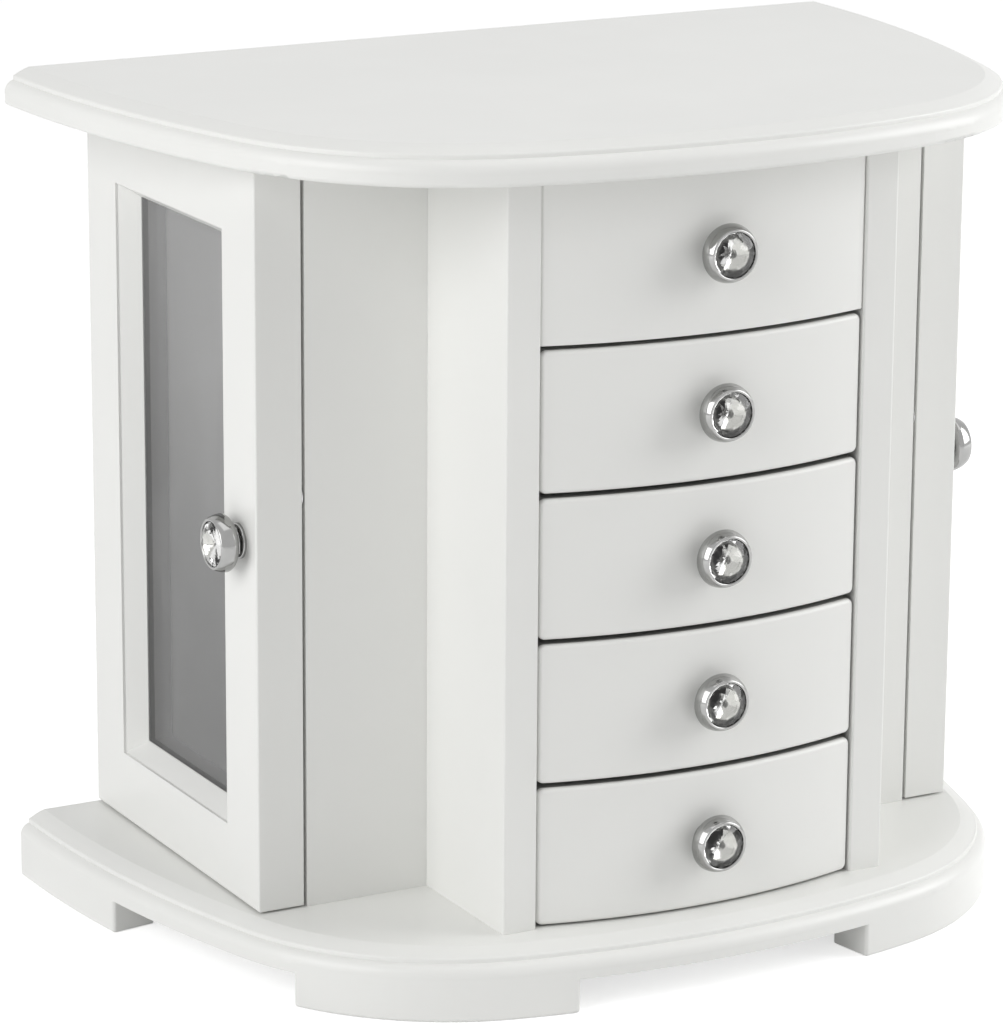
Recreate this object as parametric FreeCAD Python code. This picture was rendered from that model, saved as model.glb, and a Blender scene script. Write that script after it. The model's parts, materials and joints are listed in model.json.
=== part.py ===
import FreeCAD
import Part
import math
import os

# A white wooden jewellery box with a curved front, built as one case, a hinged lid with a mirror
# under it, two glazed side doors and four bow-fronted drawers. All lengths are in millimetres.
# X runs to the right, Y to the back and Z up. The floor is z = 0, and the origin lies under the
# centre of the box's overall width and depth.

V = FreeCAD.Vector

# Plan of the lid and the base: a D made of five tangent arcs and a straight back edge
board_width = 308.4
board_depth = 197.0
board_side_radius = 438.0
board_corner_radius = 88.7
board_front_radius = 305.0

# Heights, from the floor up
foot_height = 11.0
base_thickness = 10.8
lid_gap = 0.7
lid_thickness = 11.8

# Moulding on the edge of the lid and the base: a slope, a small step and a quarter round
slope_width = 5.6
slope_drop = 2.1
bead_radius = 0.7
step_drop = 0.9
round_width = 2.9
round_drop = 4.4
lower_edge_radius = 1.4

# Feet
foot_width = 15.0
back_foot_length = 64.0
front_foot_start = 147.4
front_foot_end = 51.5
foot_edge_radius = 1.2

# Case
back_thickness = 6.0
block_width = 136.4
block_side_thickness = 11.5
block_depth = 173.5
door_overhang = 27.7
door_depth = 123.0
door_thickness = 15.5
door_gap = 1.2
door_floor_gap = 0.7
door_lid_gap = 0.6
recess_wall_thickness = 9.0
side_cap_thickness = 6.0
corner_post_width = 5.0
corner_post_depth = 6.0
board_edge_radius = 0.7

# Door window
window_back_margin = 22.0
window_front_margin = 22.3
window_lower_margin = 22.3
window_upper_margin = 22.0
window_step = 0.9
window_bevel_width = 4.4
window_bevel_depth = 6.2
glass_thickness = 2.0
glass_rebate = 4.0
glass_clearance = 0.3
glass_bead_width = 4.0
glass_bead_thickness = 6.0

# Drawers and the fixed front above them
drawer_count = 4
drawer_pitch = 45.6
top_front_height = 52.0
front_gap = 1.6
front_side_gap = 0.7
front_bow = 8.0
front_end_thickness = 7.5
front_setback = 0.8
front_edge_radius = 1.4
front_corner_radius = 2.2
shelf_thickness = 3.0
drawer_side_clearance = 1.0
drawer_back_clearance = 4.0
drawer_floor_clearance = 0.3
drawer_wall = 4.5
drawer_floor = 3.0
drawer_wall_height = 37.0
liner_thickness = 1.0
liner_clearance = 0.2
liner_drop = 1.5

# Tray under the lid
ring_roll_count = 6
ring_roll_width = 13.0
ring_roll_height = 25.0
ring_roll_gap = 0.4
ring_roll_crown = 5.5
ring_roll_end_gap = 0.5
divider_thickness = 4.0
divider_height = 34.0
tray_liner_thickness = 1.2

# Mirror under the lid
mirror_width = 184.0
mirror_depth = 118.0
mirror_back_margin = 24.0
mirror_thickness = 2.0
mirror_recess = 4.0
mirror_clearance = 0.2
mirror_corner_radius = 4.0
mirror_frame_width = 7.0
mirror_frame_bevel = 1.2

# Knobs: a chrome cup with a cut crystal in it, held by a screw from behind
knob_flange_radius = 5.6
knob_flange_height = 1.2
knob_neck_radius = 3.9
knob_neck_height = 2.3
knob_flare_radius = 6.4
knob_flare_height = 3.3
knob_body_radius = 9.1
knob_body_height = 5.6
knob_bezel_radius = 7.9
knob_bezel_height = 9.2
crystal_radius = 6.9
crystal_table_radius = 2.4
crystal_crown_height = 2.3
crystal_girdle_height = 0.4
crystal_pavilion_height = 2.7
crystal_clearance = 0.12
screw_radius = 1.9
screw_clearance = 0.15
screw_head_radius = 3.4
screw_head_height = 1.5
screw_grip = 3.4
door_knob_margin = 12.0
door_knob_height = 117.0

# Hinges: two leaves and a pin
hinge_barrel_radius = 1.9
hinge_standoff = 0.3
hinge_pin_radius = 0.9
hinge_pin_clearance = 0.04
hinge_leaf_thickness = 0.8
hinge_leaf_width = 10.5
hinge_knuckle_gap = 0.25
lid_hinge_length = 34.0
lid_hinge_offset = 78.0
door_hinge_length = 24.0
door_hinge_end_margin = 30.0

# Small fittings
magnet_radius = 2.5
magnet_length = 8.0
magnet_rise = 14.0
strike_radius = 4.0
strike_thickness = 0.6
bumper_radius = 3.0
bumper_offset = 42.0
hook_wire_radius = 0.8
hook_radius = 4.0
hook_shank = 7.0
hook_lift = 35.0
hook_count = 3
side_liner_thickness = 0.8
side_liner_gap = 0.3

# Places worked out from the sizes above
hinge_reach = hinge_standoff + hinge_barrel_radius
back_y = (board_depth - hinge_reach - hinge_barrel_radius) / 2.0
hinge_y = back_y + hinge_reach
panel_front_y = back_y - back_thickness
door_front_y = back_y - door_depth
block_front_y = back_y - block_depth
base_top = foot_height + base_thickness
case_top = base_top + drawer_count * drawer_pitch + top_front_height
lid_bottom = case_top + lid_gap
block_x = block_width / 2.0
bay_x = block_x - block_side_thickness
door_outer_x = board_width / 2.0 - door_overhang
door_inner_x = door_outer_x - door_thickness
case_x = door_inner_x - door_gap
door_low = base_top + door_floor_gap
door_high = case_top - door_lid_gap
magnet_z = base_top + door_knob_height + magnet_rise
front_end_y = block_front_y + front_setback
front_inner_y = front_end_y + front_end_thickness
front_peak_y = front_end_y - front_bow
tray_floor_z = base_top + drawer_count * drawer_pitch
tray_top_z = tray_floor_z + shelf_thickness
mould_width = round_width + slope_width
FAR = 1000.0


def block(x0, x1, y0, y1, z0, z1):
    """A rectangular block between two corners."""
    return Part.makeBox(x1 - x0, y1 - y0, z1 - z0, V(x0, y0, z0))


def mirrored(shape):
    """The same shape on the other side of the box."""
    return shape.mirror(V(0, 0, 0), V(1, 0, 0))


def both_sides(shape):
    """A left and a right copy, as separate solids."""
    return Part.makeCompound([shape, mirrored(shape)])


def face_of(edges):
    """A flat face inside a closed run of edges."""
    return Part.Face(Part.Wire(Part.__sortEdges__(edges)))


def prism(points, direction):
    """A straight prism over a closed polygon."""
    return Part.Face(Part.makePolygon(points + [points[0]])).extrude(direction)


def rounded(shape, radius, chosen):
    """The shape with the edges that pass a test rounded."""
    edges = [edge for edge in shape.Edges if chosen(edge)]
    return shape.makeFillet(radius, edges)


def upright(edge):
    """True for a straight edge that runs along Z."""
    a = edge.Vertexes[0].Point
    b = edge.Vertexes[-1].Point
    return abs(a.x - b.x) < 1e-6 and abs(a.y - b.y) < 1e-6 and abs(a.z - b.z) > 1e-3


def save(name, shape):
    """One file for each node, with its solids as they stand."""
    solids = shape.Solids
    out = solids[0] if len(solids) == 1 else Part.makeCompound(solids)
    out.exportStep(os.path.join("parts", name + ".step"))


# The D-shaped boards

def board_arcs(inset):
    """Centres and radii of the D's arcs, drawn in by the inset.

    The side arc starts square to the back edge. The corner arc touches it and the front arc from
    inside, so its centre lies where two circles about their centres meet.
    """
    side_centre = V(board_width / 2.0 - board_side_radius, back_y, 0)
    front_centre = V(0, back_y - board_depth + board_front_radius, 0)
    reach_side = board_side_radius - board_corner_radius
    reach_front = board_front_radius - board_corner_radius
    span = front_centre - side_centre
    length = span.Length
    along = (reach_side ** 2 - reach_front ** 2 + length ** 2) / (2.0 * length)
    across = math.sqrt(reach_side ** 2 - along ** 2)
    unit = span * (1.0 / length)
    normal = V(unit.y, -unit.x, 0)
    corner_centre = side_centre + unit * along + normal * across
    return [(side_centre, board_side_radius - inset),
            (corner_centre, board_corner_radius - inset),
            (front_centre, board_front_radius - inset)]


def polar(centre, radius, angle, z):
    """A point on a circle in a level plane."""
    return V(centre.x + radius * math.cos(angle), centre.y + radius * math.sin(angle), z)


def arc_edge(centre, radius, start, end, z):
    """A level arc about a centre from one angle to another."""
    return Part.Arc(polar(centre, radius, start, z), polar(centre, radius, (start + end) / 2.0, z),
                    polar(centre, radius, end, z)).toShape()


def board_joints():
    """Angles at which the D's side arc meets the corner arc, and the corner arc the front arc."""
    side, corner, front = [centre for centre, radius in board_arcs(0)]
    return (math.atan2(corner.y - side.y, corner.x - side.x),
            math.atan2(corner.y - front.y, corner.x - front.x))


def board_path(inset, z):
    """The D's five tangent arcs from its right back corner round to its left one."""
    (side, side_r), (corner, corner_r), (front, front_r) = board_arcs(inset)
    joint_side, joint_front = board_joints()
    right = [arc_edge(side, side_r, 0.0, joint_side, z),
             arc_edge(corner, corner_r, joint_side, joint_front, z)]
    nose = arc_edge(front, front_r, joint_front, -math.pi - joint_front, z)
    left = [mirrored(edge) for edge in reversed(right)]
    return right + [nose] + left


def board_blank(inset, z, height):
    """A plain D-shaped block with upright sides."""
    arcs = board_path(inset, z)
    corner = board_width / 2.0 - inset
    back = Part.makeLine(V(-corner, back_y, z), V(corner, back_y, z))
    return face_of(arcs + [back]).extrude(V(0, 0, height))


def moulding_edges(top, thickness, lower_radius, inner):
    """The board's edge in section, in the plane of the back edge at its right end.

    From the flat top it runs down a shallow curved slope, over a bead and a small step, round a
    quarter ellipse to the widest line and straight down to the eased lower edge.
    """
    edge_x = board_width / 2.0

    def at(m, h):
        return V(edge_x - m, back_y, top - h)

    shoulder = round_width + slope_width
    slope_end = at(round_width + bead_radius, slope_drop)
    bead_end = at(round_width, slope_drop + bead_radius)
    bead_mid = at(round_width + 0.3 * bead_radius, slope_drop + 0.3 * bead_radius)
    step_end = at(round_width, slope_drop + bead_radius + step_drop)
    drop = slope_drop + bead_radius + step_drop
    turn = math.sqrt(0.5)
    round_mid = at(round_width * (1.0 - turn), drop + round_drop * (1.0 - turn))
    round_end = at(0, drop + round_drop)
    low = at(0, thickness - lower_radius)
    low_mid = at(lower_radius * (1.0 - turn), thickness - lower_radius * (1.0 - turn))
    low_end = at(lower_radius, thickness)
    slope_mid = at(round_width + bead_radius + 0.5 * (slope_width - bead_radius), 0.4 * slope_drop)
    edges = [Part.Arc(at(shoulder, 0), slope_mid, slope_end).toShape(),
             Part.Arc(slope_end, bead_mid, bead_end).toShape(),
             Part.makeLine(bead_end, step_end),
             Part.Arc(step_end, round_mid, round_end).toShape(),
             Part.makeLine(round_end, low)]
    if lower_radius > 0:
        edges.append(Part.Arc(low, low_mid, low_end).toShape())
    edges.append(Part.makeLine(low_end, at(inner, thickness)))
    edges.append(Part.makeLine(at(inner, thickness), at(inner, 0)))
    edges.append(Part.makeLine(at(inner, 0), at(shoulder, 0)))
    return edges


def moulded_board(bottom, thickness, lower_radius):
    """A D-shaped board: its moulded edge swept round the D, joined to the plain middle."""
    inner = 2.0 * mould_width + 4.0
    section = Part.Wire(moulding_edges(bottom + thickness, thickness, lower_radius, inner))
    path = Part.Wire(board_path(0, bottom))
    rim = path.makePipeShell([section], True, False)
    middle = board_blank(inner - 2.0, bottom, thickness)
    return rim.fuse(middle).removeSplitter()


# Case

def make_base_board():
    """The base board, moulded like the lid, with a square lower edge for the feet."""
    return moulded_board(foot_height, base_thickness, 0.0)


def outside(point, arcs):
    """Whether a point lies further out than every one of some arcs."""
    return all(math.hypot(point.x - centre.x, point.y - centre.y) > radius for centre, radius in arcs)


def foot(arcs):
    """A foot that follows arcs of the D's right side; each arc is centre, radius, start and end.

    Its free outer corners and its lower outer edges are rounded. A corner on the back edge stays
    square like the board's.
    """
    inner = [(centre, radius - foot_width, start, end) for centre, radius, start, end in arcs]
    first, last = arcs[0], arcs[-1]
    ends = [Part.makeLine(polar(first[0], first[1], first[2], 0),
                          polar(first[0], first[1] - foot_width, first[2], 0)),
            Part.makeLine(polar(last[0], last[1], last[3], 0),
                          polar(last[0], last[1] - foot_width, last[3], 0))]
    outline = face_of([arc_edge(*arc, 0) for arc in arcs + inner] + ends)
    solid = outline.extrude(V(0, 0, foot_height))
    free = [polar(last[0], last[1], last[3], foot_height / 2.0)]
    if first[2] < 0.0:
        free.append(polar(first[0], first[1], first[2], foot_height / 2.0))
    solid = rounded(solid, foot_edge_radius,
                    lambda edge: upright(edge) and min((edge.CenterOfMass - point).Length
                                                       for point in free) < 0.01)
    middle = [(centre, radius - foot_width / 2.0) for centre, radius, start, end in arcs]
    return rounded(solid, foot_edge_radius,
                   lambda edge: edge.BoundBox.ZMax < 0.01 and outside(edge.CenterOfMass, middle))


def make_back_feet():
    """A foot under each back corner, following the board's side."""
    centre, radius = board_arcs(0)[0]
    return both_sides(foot([(centre, radius, 0.0, -math.asin(back_foot_length / radius))]))


def make_front_feet():
    """A foot under each front corner, its ends square to the curve.

    It runs on from the corner arc into the front arc, or ends on the corner arc if that reaches
    the foot's inner end.
    """
    side, corner, front = board_arcs(0)
    joint_front = board_joints()[1]
    start = math.asin((back_y - front_foot_start - corner[0].y) / corner[1])
    if front_foot_end < polar(corner[0], corner[1], joint_front, 0).x:
        end = math.asin(front_foot_end / front[1]) - math.pi / 2.0
        return both_sides(foot([(corner[0], corner[1], start, joint_front),
                                (front[0], front[1], joint_front, end)]))
    end = -math.acos((front_foot_end - corner[0].x) / corner[1])
    return both_sides(foot([(corner[0], corner[1], start, end)]))


def make_back_panel():
    """The back of the case, the full width between the doors."""
    return block(-case_x, case_x, panel_front_y, back_y, base_top, case_top)


def make_block_side():
    """The left wall of the drawer block. Its front edge is the stile beside the drawers."""
    wall = block(-block_x, -bay_x, block_front_y, panel_front_y, base_top, case_top)
    front = block_front_y + 1e-3
    return rounded(wall, board_edge_radius,
                   lambda edge: upright(edge) and edge.BoundBox.YMax < front)


def make_recess_wall():
    """The left front-facing wall beside the drawer block, bored for the door's magnet."""
    wall = block(-case_x, -block_x, door_front_y, door_front_y + recess_wall_thickness,
                 base_top, case_top)
    bore = Part.makeCylinder(magnet_radius + 0.05, magnet_length, magnet_place(), V(1, 0, 0))
    return wall.cut(bore)


def magnet_place():
    """Middle of the left magnet's outer end, flush with the wall's edge."""
    return V(-case_x, door_front_y + recess_wall_thickness / 2.0, magnet_z)


def make_door_magnets():
    """A round magnet let into the edge of each recess wall."""
    return both_sides(Part.makeCylinder(magnet_radius, magnet_length - 0.3, magnet_place(), V(1, 0, 0)))


def make_side_caps():
    """The ceiling of each side compartment."""
    cap = block(-case_x, -block_x, door_front_y + recess_wall_thickness, panel_front_y,
                case_top - side_cap_thickness, case_top)
    return both_sides(cap)


def make_corner_posts():
    """The strip that closes each back corner beside the door."""
    post = block(-case_x, -case_x + corner_post_width, panel_front_y - corner_post_depth,
                 panel_front_y, base_top, case_top - side_cap_thickness)
    return both_sides(post)


def bow_front(half_width, low, high):
    """A panel with a flat inner face and a bowed outer face."""
    arc = Part.Arc(V(-half_width, front_end_y, low), V(0, front_peak_y, low),
                   V(half_width, front_end_y, low)).toShape()
    left = Part.makeLine(V(-half_width, front_end_y, low), V(-half_width, front_inner_y, low))
    back = Part.makeLine(V(-half_width, front_inner_y, low), V(half_width, front_inner_y, low))
    right = Part.makeLine(V(half_width, front_inner_y, low), V(half_width, front_end_y, low))
    return face_of([arc, left, back, right]).extrude(V(0, 0, high - low))


def make_false_front():
    """The fixed panel above the drawers, bored for its knob's screw."""
    low = tray_floor_z + 0.4 * front_gap
    panel = bow_front(bay_x, low, case_top)
    panel = rounded(panel, front_edge_radius,
                    lambda edge: upright(edge) and edge.BoundBox.YMax < front_inner_y - 1.0)
    return panel.cut(screw_bore(false_front_knob_z(), 0))


def false_front_knob_z():
    """Height of the top knob, in the middle of the fixed panel."""
    return (tray_floor_z + case_top) / 2.0


def make_drawer_shelves():
    """The thin shelves that the upper drawers slide on."""
    shelves = []
    for level in range(1, drawer_count):
        top = base_top + level * drawer_pitch
        shelves.append(block(-bay_x, bay_x, front_inner_y + 0.5, panel_front_y,
                             top - shelf_thickness, top))
    return Part.makeCompound(shelves)


def make_tray_floor():
    """The floor of the tray, above the top drawer."""
    return block(-bay_x, bay_x, front_inner_y, panel_front_y, tray_floor_z, tray_top_z)


# Tray

def ring_bed_end_y():
    """Back end of the ring rolls."""
    return front_inner_y + ring_roll_count * (ring_roll_width + ring_roll_gap) + ring_roll_gap


def make_ring_rolls():
    """Padded rolls side by side across the front of the tray, each crowned with drawn-in ends."""
    rolls = []
    half = bay_x - ring_roll_end_gap
    for index in range(ring_roll_count):
        y0 = front_inner_y + ring_roll_gap + index * (ring_roll_width + ring_roll_gap)
        roll = block(-half, half, y0, y0 + ring_roll_width, tray_top_z, tray_top_z + ring_roll_height)
        rolls.append(rounded(roll, ring_roll_crown,
                             lambda edge: edge.BoundBox.ZMax > tray_top_z + 1.0))
    return Part.makeCompound(rolls)


def make_tray_dividers():
    """A cross board behind the ring rolls and a short board that parts the space behind it."""
    y0 = ring_bed_end_y()
    y1 = y0 + divider_thickness
    cross = block(-bay_x, bay_x, y0, y1, tray_top_z, tray_top_z + divider_height)
    short = block(-divider_thickness / 2.0, divider_thickness / 2.0, y1, panel_front_y,
                  tray_top_z, tray_top_z + divider_height)
    return Part.makeCompound([cross, short])


def open_liner(x0, x1, y0, y1, z0, z1, thickness):
    """A thin insert: a floor and four walls, open at the top."""
    outer = block(x0, x1, y0, y1, z0, z1)
    return outer.cut(block(x0 + thickness, x1 - thickness, y0 + thickness, y1 - thickness,
                           z0 + thickness, z1 + 1.0))


def make_tray_liners():
    """A velvet insert in each of the two compartments behind the ring rolls."""
    y0 = ring_bed_end_y() + divider_thickness + liner_clearance
    liner = open_liner(-bay_x + liner_clearance, -divider_thickness / 2.0 - liner_clearance,
                       y0, panel_front_y - liner_clearance, tray_top_z,
                       tray_top_z + divider_height - liner_drop, tray_liner_thickness)
    return both_sides(liner)


# Side compartments

def make_side_liners():
    """Velvet on the back and the inner wall of each side compartment, as one bent sheet."""
    x_wall = -block_x - side_liner_gap
    x_post = -case_x + corner_post_width + side_liner_gap
    y_back = panel_front_y - side_liner_gap
    y_front = door_front_y + recess_wall_thickness + side_liner_gap
    z0 = base_top + side_liner_gap
    z1 = case_top - side_cap_thickness - side_liner_gap
    back = block(x_post, x_wall, y_back - side_liner_thickness, y_back, z0, z1)
    wall = block(x_wall - side_liner_thickness, x_wall, y_front, y_back, z0, z1)
    return both_sides(back.fuse(wall).removeSplitter())


def make_necklace_hook(y):
    """A wire hook under the left compartment's ceiling: a shank and most of a ring."""
    x = -(case_x + block_x) / 2.0
    top = case_top - side_cap_thickness
    low = top - hook_shank
    shank = Part.makeCylinder(hook_wire_radius, hook_shank, V(x, y, top), V(0, 0, -1))
    centre = V(x, y + hook_radius, low)
    section = Part.Face(Part.Wire(Part.makeCircle(hook_wire_radius, V(x, y, low), V(0, 0, 1))))
    bend = section.revolve(centre, V(1, 0, 0), 180.0 + hook_lift)
    lift = math.radians(hook_lift)
    tip = Part.makeSphere(hook_wire_radius, centre + V(0, hook_radius * math.cos(lift),
                                                       hook_radius * math.sin(lift)))
    return shank.fuse(bend).fuse(tip).removeSplitter()


def make_necklace_hooks():
    """A row of hooks in each side compartment."""
    room = door_depth - recess_wall_thickness - back_thickness - corner_post_depth
    pitch = room / (hook_count + 1)
    first = door_front_y + recess_wall_thickness + pitch - hook_radius
    hooks = [make_necklace_hook(first + index * pitch) for index in range(hook_count)]
    return both_sides(Part.makeCompound(hooks))


# Knobs, modelled standing up on z = 0 and then turned to face outwards

def facing(shape, place, outward):
    """Turns a shape that stands along Z to point outwards, and moves it to its place."""
    copy = shape.copy()
    copy.Placement = FreeCAD.Placement(place, FreeCAD.Rotation(V(0, 0, 1), outward))
    return copy


def knob_cup():
    """The chrome knob: a flange, a waisted neck and a full round body that closes in to a bezel.

    Its seat is a cone that follows the back of the crystal.
    """
    seat_radius = crystal_radius + crystal_clearance
    seat_z = knob_bezel_height - crystal_girdle_height
    cone_z = seat_z - crystal_pavilion_height - 2.0 * crystal_clearance
    turn = math.sqrt(0.5)

    def at(radius, z):
        return V(radius, 0, z)

    ease = 0.5 * knob_flange_height
    flange_eased = at(knob_flange_radius - ease * (1.0 - turn), knob_flange_height - ease * (1.0 - turn))
    belly = at(knob_flare_radius + turn * (knob_body_radius - knob_flare_radius),
               knob_body_height - turn * (knob_body_height - knob_flare_height))
    shoulder = at(0.3 * knob_bezel_radius + 0.7 * knob_body_radius,
                  0.5 * (knob_body_height + knob_bezel_height))
    lip = 0.5 * (knob_bezel_radius - seat_radius)
    corners = [at(0, 0), at(knob_flange_radius, 0), at(knob_flange_radius, knob_flange_height - ease),
               at(knob_flange_radius - ease, knob_flange_height)]
    waist = at(knob_neck_radius + 0.5, knob_flange_height)
    bezel = at(knob_bezel_radius, knob_bezel_height)
    seat = at(seat_radius, knob_bezel_height)
    outline = [Part.makeLine(corners[0], corners[1]),
               Part.makeLine(corners[1], corners[2]),
               Part.Arc(corners[2], flange_eased, corners[3]).toShape(),
               Part.makeLine(corners[3], waist),
               Part.Arc(waist, at(knob_neck_radius, knob_neck_height),
                        at(knob_flare_radius, knob_flare_height)).toShape(),
               Part.Arc(at(knob_flare_radius, knob_flare_height), belly,
                        at(knob_body_radius, knob_body_height)).toShape(),
               Part.Arc(at(knob_body_radius, knob_body_height), shoulder, bezel).toShape(),
               Part.Arc(bezel, at(knob_bezel_radius - lip, knob_bezel_height + 0.6 * lip), seat).toShape(),
               Part.makeLine(seat, at(seat_radius, seat_z - crystal_clearance)),
               Part.makeLine(at(seat_radius, seat_z - crystal_clearance), at(0, cone_z)),
               Part.makeLine(at(0, cone_z), corners[0])]
    cup = Part.Face(Part.Wire(outline)).revolve(V(0, 0, 0), V(0, 0, 1), 360)
    bore = Part.makeCylinder(screw_radius + 0.05, screw_grip + 0.2)
    return cup.cut(bore)


def crystal():
    """A round cut stone: an eight-sided table, stars, kites and girdle facets over a cone of facets.

    The kites are flat because the points between the stars lie at the height where the plane
    through a table corner and a girdle corner passes their radius.
    """
    girdle_top = knob_bezel_height
    girdle_low = girdle_top - crystal_girdle_height
    table_z = girdle_top + crystal_crown_height
    star_radius = 0.5 * (crystal_table_radius + crystal_radius)
    eighth = math.pi / 4.0
    share = (star_radius * math.cos(eighth / 2.0) - crystal_table_radius) / (
        crystal_radius - crystal_table_radius)
    star_z = table_z - crystal_crown_height * share
    origin = V(0, 0, 0)
    table = [polar(origin, crystal_table_radius, k * eighth, table_z) for k in range(8)]
    star = [polar(origin, star_radius, (k + 0.5) * eighth, star_z) for k in range(8)]
    upper = [polar(origin, crystal_radius, j * eighth / 2.0, girdle_top) for j in range(16)]
    lower = [polar(origin, crystal_radius, j * eighth / 2.0, girdle_low) for j in range(16)]
    culet = V(0, 0, girdle_low - crystal_pavilion_height)
    facets = [table]
    for k in range(8):
        following = (k + 1) % 8
        facets.append([table[k], star[k], table[following]])
        facets.append([table[k], star[k - 1], upper[2 * k], star[k]])
        facets.append([star[k], upper[2 * k], upper[2 * k + 1]])
        facets.append([star[k], upper[2 * k + 1], upper[(2 * k + 2) % 16]])
    for j in range(16):
        following = (j + 1) % 16
        facets.append([upper[j], upper[following], lower[following], lower[j]])
        facets.append([lower[j], lower[following], culet])
    faces = [Part.Face(Part.makePolygon(points + [points[0]])) for points in facets]
    shell = Part.makeShell(faces)
    shell.sewShape()
    solid = Part.makeSolid(shell)
    if solid.Volume < 0:
        solid.reverse()
    return solid


def knob_screw(panel):
    """The screw from behind: its head sinks into the back of the panel."""
    shank = Part.makeCylinder(screw_radius, panel - 0.05 + screw_grip, V(0, 0, -panel + 0.05))
    head = Part.makeCylinder(screw_head_radius, screw_head_height, V(0, 0, -panel + 0.05))
    return shank.fuse(head).removeSplitter()


def screw_hole(panel):
    """Clearance for a knob's screw and its head, from a panel's face inwards."""
    shank = Part.makeCylinder(screw_radius + screw_clearance, panel + 2.0, V(0, 0, -panel - 1.0))
    head = Part.makeCylinder(screw_head_radius + screw_clearance, screw_head_height + 0.2 + 1.0,
                             V(0, 0, -panel - 1.0))
    return shank.fuse(head)


def front_knob_panel(extra):
    """Thickness that a front knob's screw passes: the bowed panel and what is behind it."""
    return front_inner_y - front_peak_y + extra


def screw_bore(z, extra):
    """Hole for the screw of a knob on a bowed front."""
    return facing(screw_hole(front_knob_panel(extra)), V(0, front_peak_y, z), V(0, -1, 0))


def front_knob(z, extra):
    """Cup and screw of a knob on a bowed front, at a height."""
    place = V(0, front_peak_y, z)
    cup = facing(knob_cup(), place, V(0, -1, 0))
    screw = facing(knob_screw(front_knob_panel(extra)), place, V(0, -1, 0))
    return Part.makeCompound([cup, screw])


def front_crystal(z):
    """Crystal of a knob on a bowed front."""
    return facing(crystal(), V(0, front_peak_y, z), V(0, -1, 0))


# Drawers

def drawer_levels(index):
    """Lower and upper edge of a drawer's front, counted from the bottom."""
    seam = base_top + index * drawer_pitch
    return seam + 0.4 * front_gap, seam + drawer_pitch - 0.6 * front_gap


def drawer_knob_z(index):
    """Height of a drawer's knob, in the middle of its front."""
    low, high = drawer_levels(index)
    return (low + high) / 2.0


def make_drawer_front(index):
    """A bowed drawer front with all the edges of its outer face rounded."""
    low, high = drawer_levels(index)
    half = bay_x - front_side_gap
    panel = bow_front(half, low, high)
    middle = front_inner_y - 0.5 * front_end_thickness
    panel = rounded(panel, front_corner_radius,
                    lambda edge: abs(edge.BoundBox.XLength) < 1e-6 and abs(edge.BoundBox.ZLength) < 1e-6)
    panel = rounded(panel, front_edge_radius, lambda edge: edge.BoundBox.YMax < middle)
    return panel.cut(screw_bore(drawer_knob_z(index), drawer_wall))


def drawer_box_span(index):
    """Outer corners of a drawer's box."""
    z0 = base_top + index * drawer_pitch + drawer_floor_clearance
    half = bay_x - drawer_side_clearance
    return -half, half, front_inner_y, panel_front_y - drawer_back_clearance, z0, z0 + drawer_wall_height


def make_drawer_box(index):
    """A drawer's box: four walls round a floor, bored for the knob's screw."""
    x0, x1, y0, y1, z0, z1 = drawer_box_span(index)
    hollow = block(x0 + drawer_wall, x1 - drawer_wall, y0 + drawer_wall, y1 - drawer_wall,
                   z0 + drawer_floor, z1 + 1.0)
    box = block(x0, x1, y0, y1, z0, z1).cut(hollow)
    return box.cut(screw_bore(drawer_knob_z(index), drawer_wall))


def make_drawer_liner(index):
    """A velvet insert in a drawer's box."""
    x0, x1, y0, y1, z0, z1 = drawer_box_span(index)
    inset = drawer_wall + liner_clearance
    return open_liner(x0 + inset, x1 - inset, y0 + inset, y1 - inset, z0 + drawer_floor,
                      z1 - liner_drop, liner_thickness)


# Hinges

def hinge(length, axis_start, along, fixed_leaf, moving_leaf):
    """A hinge of three knuckles: the fixed leaf with the outer two, the moving leaf and the pin.

    Both leaves are flat plates on the back of the box. Each plate is given by its outward
    direction from the barrel, and lies tangent to the barrel on its front side.
    """
    third = length / 3.0
    gap = hinge_knuckle_gap / 2.0
    forward = V(0, -1, 0)
    bore_radius = hinge_pin_radius + hinge_pin_clearance

    def knuckle(start, end, outward):
        base = axis_start + along * start
        tube = Part.makeCylinder(hinge_barrel_radius, end - start, base, along)
        a = base + forward * hinge_reach
        b = a + outward * hinge_leaf_width
        thick = forward * -hinge_leaf_thickness
        plate = prism([a, b, b + thick, a + thick], along * (end - start))
        return tube.fuse(plate)

    def leaf(spans, outward, plate_start, plate_end):
        base = axis_start + along * plate_start + forward * hinge_reach
        near = outward * (hinge_barrel_radius + 0.3)
        thick = forward * -hinge_leaf_thickness
        a = base + near
        b = base + outward * hinge_leaf_width
        body = prism([a, b, b + thick, a + thick], along * (plate_end - plate_start))
        for start, end in spans:
            body = body.fuse(knuckle(start, end, outward))
        bore = Part.makeCylinder(bore_radius, length + 2.0, axis_start - along, along)
        return body.removeSplitter().cut(bore)

    fixed = leaf([(0, third - gap), (2 * third + gap, length)], fixed_leaf, 0, length)
    moving = leaf([(third + gap, 2 * third - gap)], moving_leaf, 0, length)
    pin = Part.makeCylinder(hinge_pin_radius, length, axis_start, along)
    return fixed, moving, pin


def lid_hinge():
    """The left lid hinge: its fixed leaf on the back panel and its moving leaf on the lid."""
    axis_z = (case_top + lid_bottom) / 2.0
    start = V(-lid_hinge_offset - lid_hinge_length / 2.0, hinge_y, axis_z)
    return hinge(lid_hinge_length, start, V(1, 0, 0), V(0, 0, -1), V(0, 0, 1))


def door_hinge_x():
    """The left door's hinge line, in the middle of the gap beside the door."""
    return -(case_x + door_inner_x) / 2.0


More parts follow.
